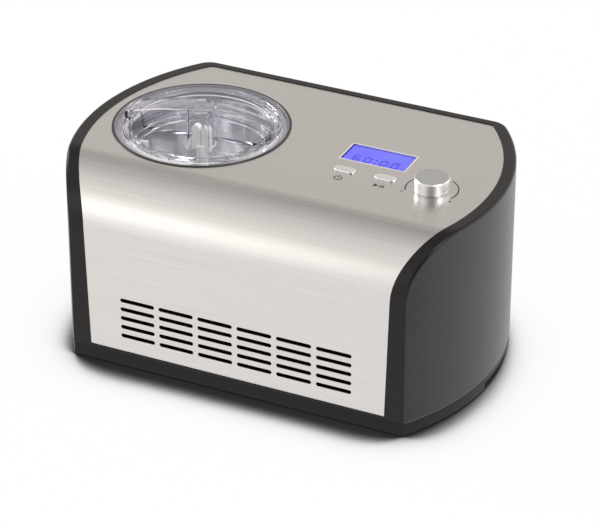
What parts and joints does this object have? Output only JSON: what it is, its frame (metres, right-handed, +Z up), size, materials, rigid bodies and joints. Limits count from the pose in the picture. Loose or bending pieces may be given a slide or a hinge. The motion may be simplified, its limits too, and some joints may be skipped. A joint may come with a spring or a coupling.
{
  "type": "ice cream maker",
  "caption": "Counter-top ice cream maker: black housing with bulged sides, rolled steel front and top, lift-out bowl with paddle under a clear lid, display, buttons and knob.",
  "frame": {"origin": "on the table, below the middle of the housing", "axes": "+X to the right as seen from the front, -Y towards the front with the air slots, +Z up"},
  "size_m": [0.423, 0.27, 0.2177],
  "materials": {
    "black_base": "fine matt moulding",
    "black_housing": "satin moulding",
    "black_trim": "satin moulding",
    "brushed_steel": "fine brushing from left to right",
    "aluminium": "plain pressed",
    "foam": "foamed",
    "polished_bowl": "polished",
    "white_plastic": "smooth moulding",
    "clear_plastic": "clear moulding",
    "turned_steel": "turned",
    "nylon": "moulded",
    "zinc_plate": "zinc plated",
    "black_paint": "painted",
    "rubber": "matt",
    "copper": "drawn copper tube",
    "circuit_board": "lacquered",
    "display": "lit blue display",
    "satin_aluminium": "turned satin",
    "silver_cap": "silver lacquer"
  },
  "bodies": {
    "machine": {"base_tray": "black_base", "housing_shell": "black_housing", "top_front_panel": "brushed_steel", "well_ring": "black_trim", "freezing_well": "aluminium", "evaporator_sleeve": "aluminium", "insulation_jacket": "foam", "shaft_bush": "nylon", "motor_bracket": "zinc_plate", "drive_gearmotor": "zinc_plate", "compressor": "black_paint", "compressor_grommets": "rubber", "condenser_fins": "aluminium", "condenser_tubes": "copper", "fan_shroud": "black_trim", "supply_board": "circuit_board", "control_carrier": "black_trim", "control_board": "circuit_board", "display_module": "display", "button_switches": "black_trim", "rotary_encoder": "zinc_plate", "rubber_feet": "rubber", "base_screws": "zinc_plate", "motor_screws": "zinc_plate", "cable_gland": "rubber"},
    "bowl": {"mixing_bowl": "polished_bowl"},
    "paddle": {"mixing_paddle": "white_plastic"},
    "lid": {"lid": "clear_plastic"},
    "drive": {"drive_shaft": "turned_steel"},
    "fan": {"cooling_fan": "black_trim"},
    "knob": {"control_knob": "satin_aluminium"},
    "power": {"power_button": "silver_cap"},
    "start": {"start_button": "silver_cap"}
  },
  "joints": [
    {"name": "bowl_lift", "type": "slide", "parent": "machine", "child": "bowl", "axis": [0, 0, 1], "range_m": [0, 0.13]},
    {"name": "lid_lift", "type": "slide", "parent": "bowl", "child": "lid", "axis": [0, 0, 1], "range_m": [0, 0.06]},
    {"name": "paddle_spin", "type": "hinge", "parent": "bowl", "child": "paddle", "pos_m": [-0.103, 0.0081, 0.0744], "axis": [0, 0, 1], "continuous": true},
    {"name": "shaft_spin", "type": "hinge", "parent": "machine", "child": "drive", "pos_m": [-0.103, 0.0081, 0.0744], "axis": [0, 0, 1], "continuous": true},
    {"name": "fan_spin", "type": "hinge", "parent": "machine", "child": "fan", "pos_m": [0.062, -0.083, 0.051], "axis": [0, 1, 0], "continuous": true},
    {"name": "knob_turn", "type": "hinge", "parent": "machine", "child": "knob", "pos_m": [0.147, -0.0163, 0.1972], "axis": [0, 0, 1], "continuous": true},
    {"name": "power_press", "type": "slide", "parent": "machine", "child": "power", "axis": [0, 0, -1], "range_m": [0, 0.001], "stiffness_N_per_m": 800},
    {"name": "start_press", "type": "slide", "parent": "machine", "child": "start", "axis": [0, 0, -1], "range_m": [0, 0.001], "stiffness_N_per_m": 800}
  ],
  "couplings": [
    {"joint": "shaft_spin", "follows": "paddle_spin", "ratio": 1}
  ]
}
